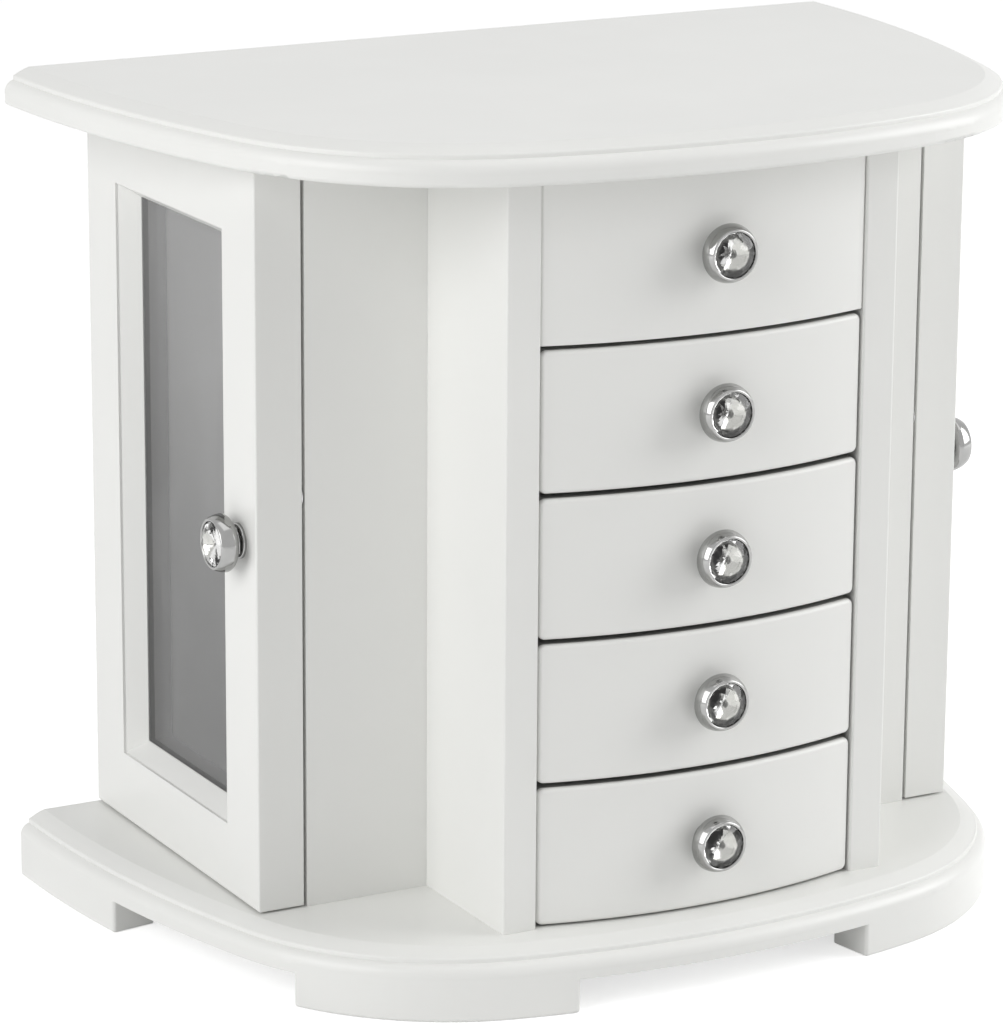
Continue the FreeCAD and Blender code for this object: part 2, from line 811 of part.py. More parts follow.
def door_hinges():
    """The left door's lower and upper hinge."""
    low = door_low + door_hinge_end_margin
    high = door_high - door_hinge_end_margin - door_hinge_length
    return [hinge(door_hinge_length, V(door_hinge_x(), hinge_y, z), V(0, 0, 1), V(1, 0, 0), V(-1, 0, 0))
            for z in (low, high)]


def make_case_hinge_leaves():
    """All leaves that are screwed to the case, with their pins."""
    pieces = []
    for fixed, moving, pin in [lid_hinge()] + door_hinges():
        pieces += [fixed, pin]
    return both_sides(Part.makeCompound(pieces))


# Lid

def mirror_outline(inset, z, height):
    """A block with rounded upright corners over the mirror's place, drawn in by the inset."""
    half = mirror_width / 2.0 - inset
    y1 = back_y - mirror_back_margin - inset
    y0 = back_y - mirror_back_margin - mirror_depth + inset
    shape = block(-half, half, y0, y1, z, z + height)
    return rounded(shape, mirror_corner_radius, upright)


def make_lid_board():
    """The lid, moulded on its curved edge and recessed underneath for the mirror."""
    board = moulded_board(lid_bottom, lid_thickness, lower_edge_radius)
    return board.cut(mirror_outline(0, lid_bottom - 1.0, mirror_recess + 1.0))


def make_mirror():
    """The mirror glass, in the bottom of the lid's recess."""
    return mirror_outline(mirror_clearance, lid_bottom + mirror_recess - mirror_thickness,
                          mirror_thickness)


def make_mirror_frame():
    """The frame that holds the mirror in, with a bevelled inner edge, flush with the lid."""
    height = mirror_recess - mirror_thickness
    outer = mirror_outline(mirror_clearance, lid_bottom, height)
    hole = mirror_outline(mirror_clearance + mirror_frame_width, lid_bottom - 1.0, height + 2.0)
    frame = outer.cut(hole)
    half = mirror_width / 2.0 - mirror_frame_width
    return frame.makeChamfer(mirror_frame_bevel, [edge for edge in frame.Edges
                                                  if edge.BoundBox.ZMax < lid_bottom + 1e-6
                                                  and edge.BoundBox.XMax < half
                                                  and edge.BoundBox.XMin > -half])


def make_lid_bumpers():
    """Two soft dots on the fixed front that the lid comes down on."""
    y = front_end_y + front_end_thickness / 2.0
    dot = Part.makeCylinder(bumper_radius, lid_gap - 0.1, V(-bumper_offset, y, case_top))
    return both_sides(dot)


# Doors

def window(step, x0, x1):
    """A block through the left door's window, drawn in all round by the step."""
    return block(x0, x1, door_front_y + window_front_margin + step, back_y - window_back_margin - step,
                 door_low + window_lower_margin + step, door_high - window_upper_margin - step)


def window_loop(step, x):
    """The window's outline at a depth, drawn in by the step."""
    y0 = door_front_y + window_front_margin + step
    y1 = back_y - window_back_margin - step
    z0 = door_low + window_lower_margin + step
    z1 = door_high - window_upper_margin - step
    corners = [V(x, y0, z0), V(x, y1, z0), V(x, y1, z1), V(x, y0, z1)]
    return Part.makePolygon(corners + [corners[0]])


def glass_outer_x():
    """Outer face of the left door's glass."""
    return -door_outer_x + window_step + window_bevel_depth


def make_door_frame():
    """The left door: a framed panel with a stepped and bevelled window, rebated for the glass."""
    slab = block(-door_outer_x, -door_inner_x, door_front_y, back_y, door_low, door_high)
    slab = rounded(slab, board_edge_radius,
                   lambda edge: edge.BoundBox.XMax < -door_outer_x + 1e-3)
    step = window(0, -door_outer_x - 1.0, -door_outer_x + window_step)
    bevel = Part.makeLoft([window_loop(0, -door_outer_x + window_step),
                           window_loop(window_bevel_width, glass_outer_x())], True, True)
    rebate = window(window_bevel_width - glass_rebate, glass_outer_x(), -door_inner_x + 1.0)
    bore = facing(screw_hole(door_thickness), door_knob_place(), V(-1, 0, 0))
    return slab.cut(step).cut(bevel).cut(rebate).cut(bore)


def make_door_glass():
    """The pane, against the shoulder behind the bevel."""
    inset = window_bevel_width - glass_rebate + glass_clearance
    return window(inset, glass_outer_x(), glass_outer_x() + glass_thickness)


def make_glass_bead():
    """The dark seal that holds the pane in from inside the door."""
    inset = window_bevel_width - glass_rebate + glass_clearance
    x0 = glass_outer_x() + glass_thickness
    outer = window(inset, x0, x0 + glass_bead_thickness)
    return outer.cut(window(inset + glass_bead_width, x0 - 1.0, x0 + glass_bead_thickness + 1.0))


def door_knob_place():
    """Middle of the left door knob's foot, on the outer face near the front edge."""
    return V(-door_outer_x, door_front_y + door_knob_margin, base_top + door_knob_height)


def make_door_knob():
    """Cup and screw of the left door's knob."""
    cup = facing(knob_cup(), door_knob_place(), V(-1, 0, 0))
    screw = facing(knob_screw(door_thickness), door_knob_place(), V(-1, 0, 0))
    return Part.makeCompound([cup, screw])


def make_door_fittings():
    """The left door's hinge leaves and the steel disc that meets the magnet."""
    place = magnet_place() + V(-door_gap, 0, 0)
    disc = Part.makeCylinder(strike_radius, strike_thickness, place, V(1, 0, 0))
    return Part.makeCompound([moving for fixed, moving, pin in door_hinges()] + [disc])


def build():
    """Makes every node and writes its file."""
    os.makedirs("parts", exist_ok=True)
    single = {
        "base_board": make_base_board,
        "back_feet": make_back_feet,
        "front_feet": make_front_feet,
        "back_panel": make_back_panel,
        "side_caps": make_side_caps,
        "corner_posts": make_corner_posts,
        "false_front": make_false_front,
        "drawer_shelves": make_drawer_shelves,
        "tray_floor": make_tray_floor,
        "tray_dividers": make_tray_dividers,
        "tray_liners": make_tray_liners,
        "ring_rolls": make_ring_rolls,
        "side_liners": make_side_liners,
        "necklace_hooks": make_necklace_hooks,
        "door_magnets": make_door_magnets,
        "case_hinge_leaves": make_case_hinge_leaves,
        "lid_bumpers": make_lid_bumpers,
        "lid_board": make_lid_board,
        "mirror": make_mirror,
        "mirror_frame": make_mirror_frame,
        "lid_hinge_leaves": lambda: both_sides(lid_hinge()[1]),
        "false_front_knob": lambda: front_knob(false_front_knob_z(), 0),
        "false_front_crystal": lambda: front_crystal(false_front_knob_z()),
    }
    for name, make in single.items():
        save(name, make())

    paired = {
        "block_side": make_block_side,
        "recess_wall": make_recess_wall,
        "door_frame": make_door_frame,
        "door_glass": make_door_glass,
        "glass_bead": make_glass_bead,
        "door_knob": make_door_knob,
        "door_crystal": lambda: facing(crystal(), door_knob_place(), V(-1, 0, 0)),
        "door_fittings": make_door_fittings,
    }
    for name, make in paired.items():
        left = make()
        save(name + "_left", left)
        save(name + "_right", mirrored(left))

    for index in range(drawer_count):
        number = str(index + 1)
        save("drawer_front_" + number, make_drawer_front(index))
        save("drawer_box_" + number, make_drawer_box(index))
        save("drawer_liner_" + number, make_drawer_liner(index))
        save("drawer_knob_" + number, front_knob(drawer_knob_z(index), drawer_wall))
        save("drawer_crystal_" + number, front_crystal(drawer_knob_z(index)))


build()
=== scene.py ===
import json
import logging
import math
from dataclasses import dataclass, field
from enum import Enum

import bmesh
import bpy
import numpy as np
from mathutils import Matrix, Vector


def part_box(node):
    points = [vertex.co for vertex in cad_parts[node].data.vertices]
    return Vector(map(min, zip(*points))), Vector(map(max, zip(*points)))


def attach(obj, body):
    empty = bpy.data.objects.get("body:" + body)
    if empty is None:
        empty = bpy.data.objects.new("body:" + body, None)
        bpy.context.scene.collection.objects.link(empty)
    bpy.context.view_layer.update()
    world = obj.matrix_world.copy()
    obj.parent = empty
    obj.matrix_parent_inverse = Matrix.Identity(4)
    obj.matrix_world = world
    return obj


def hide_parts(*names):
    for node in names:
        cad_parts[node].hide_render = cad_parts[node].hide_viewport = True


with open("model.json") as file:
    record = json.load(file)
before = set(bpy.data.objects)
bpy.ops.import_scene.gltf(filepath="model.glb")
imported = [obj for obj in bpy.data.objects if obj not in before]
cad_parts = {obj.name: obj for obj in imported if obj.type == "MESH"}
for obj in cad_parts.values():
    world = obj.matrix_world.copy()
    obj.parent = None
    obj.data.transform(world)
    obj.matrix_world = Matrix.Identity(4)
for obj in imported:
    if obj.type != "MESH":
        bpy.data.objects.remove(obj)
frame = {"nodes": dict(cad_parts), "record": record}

# The looks of a white jewellery box with a curved front: satin paint, chrome and cut-crystal knobs,
# glazed doors, grey velvet linings and a mirror under the lid. All lengths are in metres.

log = logging.getLogger("jewellery_box")
MM = 0.001


class Side(Enum):
    """The two sides of the box, by the sign of X."""

    LEFT = -1
    RIGHT = 1


# Shader values

class Value:
    """A number that varies over a surface, held as a node's output socket."""

    def __init__(self, desk: "Desk", socket: bpy.types.NodeSocket) -> None:
        """Keeps the material's desk and the socket."""
        self.desk = desk
        self.socket = socket

    def _math(self, operation: str, *terms: "Value | float") -> "Value":
        """Adds one Math node over the given terms."""
        return self.desk.value("ShaderNodeMath", {"operation": operation}, dict(enumerate(terms)))

    def __add__(self, other: "Value | float") -> "Value":
        """self + other."""
        return self._math("ADD", self, other)

    def __radd__(self, other: float) -> "Value":
        """other + self."""
        return self._math("ADD", other, self)

    def __sub__(self, other: "Value | float") -> "Value":
        """self - other."""
        return self._math("SUBTRACT", self, other)

    def __rsub__(self, other: float) -> "Value":
        """other - self."""
        return self._math("SUBTRACT", other, self)

    def __mul__(self, other: "Value | float") -> "Value":
        """self * other."""
        return self._math("MULTIPLY", self, other)

    def __rmul__(self, other: float) -> "Value":
        """other * self."""
        return self._math("MULTIPLY", other, self)

    def clamped(self) -> "Value":
        """The value held between 0 and 1."""
        return self._math("MINIMUM", self._math("MAXIMUM", self, 0.0), 1.0)


class Desk:
    """One material's node tree, and the single way that nodes are added to it."""

    def __init__(self, name: str) -> None:
        """Starts an empty material with its output node.

        Args:
            name: The material's name.
        """
        self.material = bpy.data.materials.new(name)
        self.material.use_nodes = True
        self.tree = self.material.node_tree
        self.tree.nodes.clear()
        self.output = self.tree.nodes.new("ShaderNodeOutputMaterial")

    def node(self, kind: str, settings: dict | None = None, sockets: dict | None = None) -> bpy.types.Node:
        """Adds a node, makes its settings and then fills its sockets.

        Args:
            kind: The node's type.
            settings: Properties by name.
            sockets: Values or links by socket name or number.

        Returns:
            The new node.
        """
        made = self.tree.nodes.new(kind)
        for key, setting in (settings or {}).items():
            setattr(made, key, setting)
        for key, given in (sockets or {}).items():
            if isinstance(given, Value):
                self.tree.links.new(given.socket, made.inputs[key])
            else:
                made.inputs[key].default_value = given
        return made

    def value(self, kind: str, settings: dict | None = None, sockets: dict | None = None,
              output: int | str = 0) -> Value:
        """Adds a node and returns one of its outputs.

        Args:
            kind: The node's type.
            settings: Properties by name.
            sockets: Values or links by socket name or number.
            output: The output's name or number.

        Returns:
            That output as a value.
        """
        return Value(self, self.node(kind, settings, sockets).outputs[output])

    def place(self, stretch: tuple[float, float, float] = (1.0, 1.0, 1.0)) -> Value:
        """Object coordinates, stretched along each axis."""
        coordinates = self.value("ShaderNodeTexCoord", output="Object")
        return self.value("ShaderNodeMapping", None, {"Vector": coordinates, "Scale": stretch})

    def along(self, axis: str) -> Value:
        """One of the object coordinates, by its letter."""
        return self.value("ShaderNodeSeparateXYZ", None, {"Vector": self.place()}, axis)

    def distance(self, point: tuple[float, float, float],
                 kept: tuple[float, float, float] = (1.0, 1.0, 1.0)) -> Value:
        """Distance from a point, measured along the kept axes alone.

        Args:
            point: The point, in metres.
            kept: 1 for each axis that counts, and 0 for each that doesn't.

        Returns:
            The distance in metres.
        """
        flat = self.value("ShaderNodeVectorMath", {"operation": "MULTIPLY"}, {0: self.place(), 1: kept})
        level = tuple(place * share for place, share in zip(point, kept))
        return self.value("ShaderNodeVectorMath", {"operation": "DISTANCE"}, {0: flat, 1: level}, "Value")

    def noise(self, scale: float, detail: float = 2.0, roughness: float = 0.5,
              stretch: tuple[float, float, float] = (1.0, 1.0, 1.0)) -> Value:
        """Noise from 0 to 1 over the piece's own place.

        Args:
            scale: Features to the metre.
            detail: Octaves of finer noise.
            roughness: Weight of the finer octaves.
            stretch: Scale along each axis.

        Returns:
            The noise.
        """
        return self.value("ShaderNodeTexNoise", None,
                          {"Vector": self.place(stretch), "Scale": scale, "Detail": detail,
                           "Roughness": roughness})

    def spread(self, source: Value, low: float, high: float) -> Value:
        """Maps a value's range to 0 to 1, with a smooth step between its ends.

        Args:
            source: The value.
            low: What becomes 0.
            high: What becomes 1.

        Returns:
            The mapped value.
        """
        return self.value("ShaderNodeMapRange", {"interpolation_type": "SMOOTHSTEP"},
                          {"Value": source, "From Min": low, "From Max": high})

    def blend(self, share: Value, first: tuple | Value, second: tuple | Value) -> Value:
        """Mixes two colours.

        Args:
            share: How much of the second colour there is, from 0 to 1.
            first: The first colour.
            second: The second colour.

        Returns:
            The mixed colour.
        """
        mix = self.node("ShaderNodeMix", {"data_type": "RGBA"}, {0: share, 6: first, 7: second})
        return Value(self, mix.outputs[2])

    def bump(self, height: Value, depth: float, strength: float = 1.0,
             normal: Value | None = None) -> Value:
        """A normal tilted by a height.

        Args:
            height: The height, from 0 to 1.
            depth: How many metres a height of 1 stands for.
            strength: Share of the tilt that is kept.
            normal: A normal to start from.

        Returns:
            The tilted normal.
        """
        sockets = {"Height": height, "Distance": depth, "Strength": strength}
        if normal is not None:
            sockets["Normal"] = normal
        return self.value("ShaderNodeBump", None, sockets)

    def finish(self, shader: Value) -> bpy.types.Material:
        """Links the shader to the output and returns the material."""
        self.tree.links.new(shader.socket, self.output.inputs["Surface"])
        return self.material


def rgba(colour: tuple[float, float, float], gain: float = 1.0) -> tuple[float, float, float, float]:
    """A colour times a gain, with full alpha."""
    return (colour[0] * gain, colour[1] * gain, colour[2] * gain, 1.0)


# Finishes

@dataclass(frozen=True)
class GapShadeEdges:
    """Painted shade on the edges of a bowed front, behind its face, as in the narrow gaps between drawers.

    Attributes:
        centre_y: Where the face's arc has its centre, in the middle plane.
        radius: The arc's radius.
        inner_y: Where the flat inner face lies.
        shade_start: How far behind the face the painted shade begins.
        shade_fade: Width over which the painted shade comes in.
        colour: The painted shade's colour.
    """

    centre_y: float
    radius: float
    inner_y: float
    shade_start: float = 1.5 * MM
    shade_fade: float = 0.5 * MM
    colour: tuple[float, float, float] = (0.30, 0.30, 0.29)

    def share(self, desk: Desk) -> Value:
        """How much painted shade the edge takes: 0 in front of the shade line, 1 behind it.

        The face is an arc about (0, centre_y). The shade line lies inside it by shade_start, and the
        inner face takes no shade.

        Args:
            desk: The material's desk.

        Returns:
            The share.
        """
        depth = self.radius - desk.distance((0.0, self.centre_y, 0.0), (1.0, 1.0, 0.0))
        behind = desk.spread(depth, self.shade_start, self.shade_start + self.shade_fade)
        inside = desk.spread(desk.along("Y"), self.inner_y - 0.4 * self.shade_fade, self.inner_y)
        return behind * (1.0 - inside)


@dataclass(frozen=True)
class SatinPaint:
    """Sprayed satin paint on wood: faint orange peel, soft edges and a little unevenness."""

    name: str
    colour: tuple[float, float, float]
    roughness: float = 0.34
    peel_depth: float = 0.04 * MM
    edge_radius: float = 0.3 * MM
    gap_shade: GapShadeEdges | None = None

    def build(self) -> bpy.types.Material:
        """Makes the material.

        Colour drifts by about 2% in broad clouds. Roughness follows a finer cloud, and the
        normal is a rounded edge with the peel's fine bump over it.

        Returns:
            The material.
        """
        desk = Desk(self.name)
        clouds = desk.noise(9.0, 3.0)
        drift = desk.spread(clouds, 0.3, 0.7)
        colour = desk.blend(drift, rgba(self.colour, 0.985), rgba(self.colour, 1.008))
        # Painted shade: the drawer fronts' edges behind the face are darkened, as the narrow gaps between
        # drawers would be shaded; it also shows grey on an opened drawer.
        if self.gap_shade is not None:
            colour = desk.blend(self.gap_shade.share(desk), colour, rgba(self.gap_shade.colour))
        patch = desk.noise(60.0, 4.0)
        peel = desk.noise(620.0, 2.0, 0.55)
        round_edge = desk.value("ShaderNodeBevel", {"samples": 4}, {"Radius": self.edge_radius})
        normal = desk.bump(peel, self.peel_depth, 0.35, round_edge)
        shader = desk.value("ShaderNodeBsdfPrincipled", None,
                            {"Base Color": colour,
                             "Roughness": self.roughness - 0.05 + patch * 0.1,
                             "Normal": normal,
                             "IOR": 1.46})
        return desk.finish(shader)


@dataclass(frozen=True)
class Velvet:
    """Short-pile velvet: a sheen, brushed patches and a fine tufted bump.

    Attributes:
        name: The material's name.
        colour: The pile's colour.
        speck: How far the gaps between the tufts darken, which also deepens the bump.
        patch: How far brushed patches darken and lighten.
        lift: How many times lighter the top of the span is than its foot, as painted light.
        span: Heights between which the painted light rises.
    """

    name: str
    colour: tuple[float, float, float]
    speck: float = 0.35
    patch: float = 0.16
    lift: float = 1.0
    span: tuple[float, float] = (0.07, 0.24)

    def build(self) -> bpy.types.Material:
        """Makes the material.

        The pile's patches lighten and darken the colour, and two layers of noise, one fine and
        one coarse, give the tufts their height. Painted light makes the pile lighter towards its top,
        by the lift.

        Returns:
            The material.
        """
        desk = Desk(self.name)
        patch = desk.spread(desk.noise(38.0, 3.0, 0.6, (1.0, 2.6, 1.0)), 0.34, 0.66)
        tuft = desk.noise(2300.0, 2.0, 0.6)
        speck = desk.spread(tuft, 0.3, 0.7)
        base = desk.blend(patch, rgba(self.colour, 1.0 - self.patch),
                          rgba(self.colour, 1.0 + 0.6 * self.patch))
        # Painted light: the colour lightens with height, standing in for light falling from above.
        if self.lift > 1.0:
            climb = desk.spread(desk.along("Z"), *self.span)
            base = desk.blend(climb, base, rgba(self.colour, self.lift))
        colour = desk.blend(speck * self.speck, base, rgba(self.colour, 0.62))
        height = tuft * 0.7 + desk.noise(700.0, 2.0) * 0.3
        shader = desk.value("ShaderNodeBsdfPrincipled", None,
                            {"Base Color": colour,
                             "Roughness": 0.84 + patch * 0.12,
                             "Normal": desk.bump(height, 0.3 * MM, 1.2 * self.speck + 0.18),
                             "Sheen Weight": 0.5,
                             "Sheen Roughness": 0.4})
        return desk.finish(shader)


@dataclass(frozen=True)
class SeatReflections:
    """Painted reflections in a knob's conical seat, behind its crystal: dark at the tip and round the rim,
    bright between.

    Attributes:
        centre: The middle of the crystal.
        across: 1 for each axis across the knob, and 0 for the one that it points along.
        core: Radius of the dark tip.
        ring: Radius where the dark rim begins.
        reach: Distance from the crystal's middle that takes in the seat and no other face.
        dark: The colour of the painted dark reflections.
        light: The colour of the painted bright reflection.
    """

    centre: tuple[float, float, float]
    across: tuple[float, float, float]
    core: float = 0.8 * MM
    ring: float = 4.0 * MM
    reach: float = 7.1 * MM
    dark: tuple[float, float, float] = (0.13, 0.13, 0.125)
    light: tuple[float, float, float] = (0.76, 0.76, 0.74)

    def cover(self, desk: Desk, metal: Value) -> Value:
        """Lays the painted reflections' tones over the metal's colour.

        The tones follow the distance from the knob's axis. The seat is what lies within the
        crystal's radius of the crystal's middle, and the cup's other faces lie further away.

        Args:
            desk: The material's desk.
            metal: The bare metal's colour.

        Returns:
            The colour of metal and foil.
        """
        radius = desk.distance(self.centre, self.across)
        away = desk.distance(self.centre)
        core = 1.0 - desk.spread(radius, self.core, 1.6 * self.core)
        outer = desk.spread(radius, self.ring, self.ring + 0.5 * MM)
        # Painted reflections: a dark tip and a dark rim round a bright middle, as a crystal shows dark
        # surroundings.
        seat_reflections = desk.blend((core + outer).clamped(), rgba(self.light), rgba(self.dark))
        return desk.blend(desk.spread(away, self.reach - 0.1 * MM, self.reach), seat_reflections, metal)


@dataclass(frozen=True)
class BrightMetal:
    """Plated or brushed metal with faint handling marks.

    Attributes:
        name: The material's name.
        colour: The metal's colour.
        roughness: Roughness of the clean metal.
        brushed: Whether it has brush lines along X.
        seat_reflections: The painted reflections in its seat, on a knob.
    """

    name: str
    colour: tuple[float, float, float]
    roughness: float
    brushed: bool = False
    seat_reflections: SeatReflections | None = None

    def build(self) -> bpy.types.Material:
        """Makes the material.

        Colour and roughness follow smudges. The bump is brush lines on brushed metal, and a slow
        waviness on the rest.

        Returns:
            The material.
        """
        desk = Desk(self.name)
        smudge = desk.spread(desk.noise(220.0, 3.0), 0.4, 0.75)
        colour = desk.blend(smudge, rgba(self.colour), rgba(self.colour, 0.93))
        # Painted reflections in the knob's seat.
        if self.seat_reflections is not None:
            colour = self.seat_reflections.cover(desk, colour)
        if self.brushed:
            height = desk.noise(2600.0, 2.0, 0.6, (0.06, 1.0, 1.0))
            normal = desk.bump(height, 0.05 * MM, 0.5)
        else:
            normal = desk.bump(desk.noise(350.0, 1.0), 0.01 * MM, 0.2)
        shader = desk.value("ShaderNodeBsdfPrincipled", None,
                            {"Base Color": colour,
                             "Metallic": 1.0,
                             "Roughness": self.roughness + smudge * 0.06,
                             "Normal": normal})
        return desk.finish(shader)


@dataclass(frozen=True)
class CutCrystal:
    """Clear cut crystal that bends light, with the faintest haze."""

    name: str
    colour: tuple[float, float, float]

    def build(self) -> bpy.types.Material:
        """Makes the material.

        One haze varies the colour, the polish and the ground facets very slightly.

        Returns:
            The material.
        """
        desk = Desk(self.name)
        haze = desk.noise(400.0, 2.0)
        colour = desk.blend(haze, rgba(self.colour), rgba(self.colour, 0.97))
        shader = desk.value("ShaderNodeBsdfPrincipled", None,
                            {"Base Color": colour,
                             "Roughness": haze * 0.02,
                             "Normal": desk.bump(haze, 0.004 * MM, 0.1),
                             "Transmission Weight": 1.0,
                             "IOR": 1.42})
        return desk.finish(shader)


@dataclass(frozen=True)
class PaneGlass:
    """Thin clear glass with a faint veil of reflected light, fuller towards its top.

    Attributes:
        name: The material's name.
        tint: The veil's colour.
        cover_low: The veil's cover at the foot of the span.
        cover_high: The veil's cover at the top of the span.
        span: Heights between which the cover rises.
    """

    name: str
    tint: tuple[float, float, float]
    cover_low: float
    cover_high: float
    span: tuple[float, float]

    def build(self) -> bpy.types.Material:
        """Makes the material.

        It is a polished film. Its cover rises with height and where it is smudged, and its bump
        is the slow wave of drawn glass.

        Returns:
            The material.
        """
        desk = Desk(self.name)
        smudge = desk.spread(desk.noise(26.0, 4.0, 0.6), 0.45, 0.8)
        climb = desk.spread(desk.along("Z"), *self.span)
        cover = self.cover_low + climb * (self.cover_high - self.cover_low) + smudge * 0.03
        colour = desk.blend(smudge, rgba(self.tint), rgba(self.tint, 1.1))
        shader = desk.value("ShaderNodeBsdfPrincipled", None,
                            {"Base Color": colour,
                             "Roughness": 0.03 + smudge * 0.06,
                             "Alpha": cover,
                             "Normal": desk.bump(desk.noise(14.0, 1.0), 0.06 * MM, 0.2),
                             "IOR": 1.5})
        return desk.finish(shader)


@dataclass(frozen=True)
class SilveredGlass:
    """A mirror's silver behind glass."""

    name: str
    colour: tuple[float, float, float] = (0.88, 0.90, 0.90)

    def build(self) -> bpy.types.Material:
        """Makes the material: a polished metal with a trace of smudge and a slow wave.

        Returns:
            The material.
        """
        desk = Desk(self.name)
        smudge = desk.spread(desk.noise(30.0, 4.0), 0.5, 0.85)
        colour = desk.blend(smudge, rgba(self.colour), rgba(self.colour, 0.97))
        shader = desk.value("ShaderNodeBsdfPrincipled", None,
                            {"Base Color": colour,
                             "Metallic": 1.0,
                             "Roughness": 0.015 + smudge * 0.03,
                             "Normal": desk.bump(desk.noise(10.0, 1.0), 0.04 * MM, 0.2)})
        return desk.finish(shader)


@dataclass(frozen=True)
class SoftRubber:
    """Soft rubber or plastic: a milky bumper dot, or a pane's dark seal."""

    name: str
    colour: tuple[float, float, float] = (0.74, 0.74, 0.71)

    def build(self) -> bpy.types.Material:
        """Makes the material: one cloud varies the colour, the sheen and a shallow bump.

        Returns:
            The material.
        """
        desk = Desk(self.name)
        cloud = desk.noise(300.0, 2.0)
        shader = desk.value("ShaderNodeBsdfPrincipled", None,
                            {"Base Color": desk.blend(cloud, rgba(self.colour), rgba(self.colour, 0.92)),
                             "Roughness": 0.45 + cloud * 0.1,
                             "Normal": desk.bump(cloud, 0.05 * MM, 0.3)})
        return desk.finish(shader)


@dataclass
class Finishes:
    """Every finish of the box, built once and kept by the record's slot.

    The moulded boards and their feet have their edges in the model, so their paint rounds none,
    and the drawer fronts' edges behind their faces get painted shade, as the gaps between drawers
    would be shaded. Each knob has a chrome of its own, because the painted reflections in its seat
    lie about its own axis.

    Attributes:
        made: The materials by name.
        white: The paint's colour.
        chrome: The chrome's colour.
        drawer_count: Number of drawers.
        front_bow: How far a drawer's front bows out.
        crystal_step: How far a crystal's widest plane lies in front of its middle.
        crystals: The crystals' nodes.
    """

    made: dict[str, bpy.types.Material] = field(default_factory=dict)
    white: tuple[float, float, float] = (0.83, 0.832, 0.81)
    chrome: tuple[float, float, float] = (0.36, 0.36, 0.355)
    drawer_count: int = 4
    front_bow: float = 8.0 * MM
    crystal_step: float = 0.2 * MM
    crystals: tuple[str, ...] = ("false_front_crystal", "door_crystal_left", "door_crystal_right",
                                 "drawer_crystal_1", "drawer_crystal_2", "drawer_crystal_3",
                                 "drawer_crystal_4")

    def _front_gap_shade(self) -> GapShadeEdges:
        """The painted shade on the drawer fronts' edges, from their width, depth and bow."""
        low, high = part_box("drawer_front_1")
        half = 0.5 * (high.x - low.x)
        radius = (half ** 2 + self.front_bow ** 2) / (2.0 * self.front_bow)
        return GapShadeEdges(low.y + radius, radius, high.y)

    def build(self) -> None:
        """Builds each slot's finish, the two special paints, the linings' velvets and the knobs."""
        kinds = {
            "white_paint": SatinPaint("satin_white_paint", self.white),
            "board_paint": SatinPaint("board_white_paint", self.white, edge_radius=0.0),
            # Drawer fronts: white paint with painted shade on their edges.
            "front_paint": SatinPaint("front_white_paint", self.white, gap_shade=self._front_gap_shade()),
            "inner_paint": SatinPaint("matt_white_paint", (0.78, 0.78, 0.76), 0.55),
            "velvet": Velvet("grey_velvet", (0.30, 0.30, 0.295)),
            # Silver-grey velvet for the side linings; its lift is painted light, lighter towards the top.
            "silver_velvet": Velvet("silver_velvet", (0.50, 0.50, 0.50), 0.05, 0.06, 1.8),
            # Darker velvet for the corner posts' covers: painted shade on the posts.
            "post_shade_velvet": Velvet("post_shade_velvet", (0.17, 0.17, 0.165)),
            "seal": SoftRubber("dark_seal", (0.05, 0.05, 0.045)),
            "chrome": BrightMetal("polished_chrome", self.chrome, 0.10),
            "crystal": CutCrystal("cut_crystal", (0.81, 0.81, 0.80)),
            "plated_steel": BrightMetal("plated_steel", (0.62, 0.62, 0.62), 0.24, True),
            "pane": PaneGlass("door_glass", (0.60, 0.60, 0.60), 0.18, 0.27, (0.12, 0.235)),
            "mirror": SilveredGlass("mirror_silver"),
            "bumper": SoftRubber("bumper_rubber"),
        }
        for crystal in self.crystals:
            knob = crystal.replace("crystal", "knob")
            kinds[knob] = BrightMetal("chrome_" + knob, self.chrome, 0.10, seat_reflections=self._seat_reflections(crystal))
        for slot_name, finish in kinds.items():
            self.made[slot_name] = finish.build()

    def _seat_reflections(self, crystal: str) -> SeatReflections:
        """The painted reflections behind one crystal. A door's knob points along X and a drawer's along Y.

        Args:
            crystal: The crystal's node.

        Returns:
            Its painted reflections.
        """
        low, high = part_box(crystal)
        centre = 0.5 * (low + high)
        if crystal.startswith("door"):
            centre.x += math.copysign(self.crystal_step, centre.x)
            return SeatReflections(tuple(centre), (0.0, 1.0, 1.0))
        centre.y -= self.crystal_step
        return SeatReflections(tuple(centre), (1.0, 0.0, 1.0))

    def dress_frame(self, record: dict, nodes: dict[str, bpy.types.Object]) -> None:
        """Puts each CAD node's finish in its material slots.

        Args:
            record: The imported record, whose subparts name each node's slot.
            nodes: The CAD nodes by name.
        """
        special = dict.fromkeys(("lid_board", "base_board", "front_feet", "back_feet"), "board_paint")
        special |= {"drawer_front_%d" % (k + 1): "front_paint" for k in range(self.drawer_count)}
        special |= {name: name for name in self.made if name in nodes}
        for part in record["subparts"]:
            node = nodes[part["node"]]
            name = special.get(part["node"], part["material_slot"])
            if not node.material_slots:
                node.data.materials.append(None)
            for material_slot in node.material_slots:
                material_slot.material = self.made[name]
            log.info("finish %s on %s", name, part["node"])


# Meshes from arrays

def grid_quads(rows: int, columns: int, wrap: bool) -> np.ndarray:
    """Corner numbers of a grid's quads.

    Args:
        rows: Points along the first parameter.
        columns: Points along the second parameter.
        wrap: Whether the second parameter closes on itself.

    Returns:
        One row of four point numbers for each quad.
    """
    i, j = np.meshgrid(np.arange(rows - 1), np.arange(columns if wrap else columns - 1), indexing="ij")
    following = (j + 1) % columns
    quads = np.stack([i * columns + j, i * columns + following,
                      (i + 1) * columns + following, (i + 1) * columns + j], axis=-1)
    return quads.reshape(-1, 4)


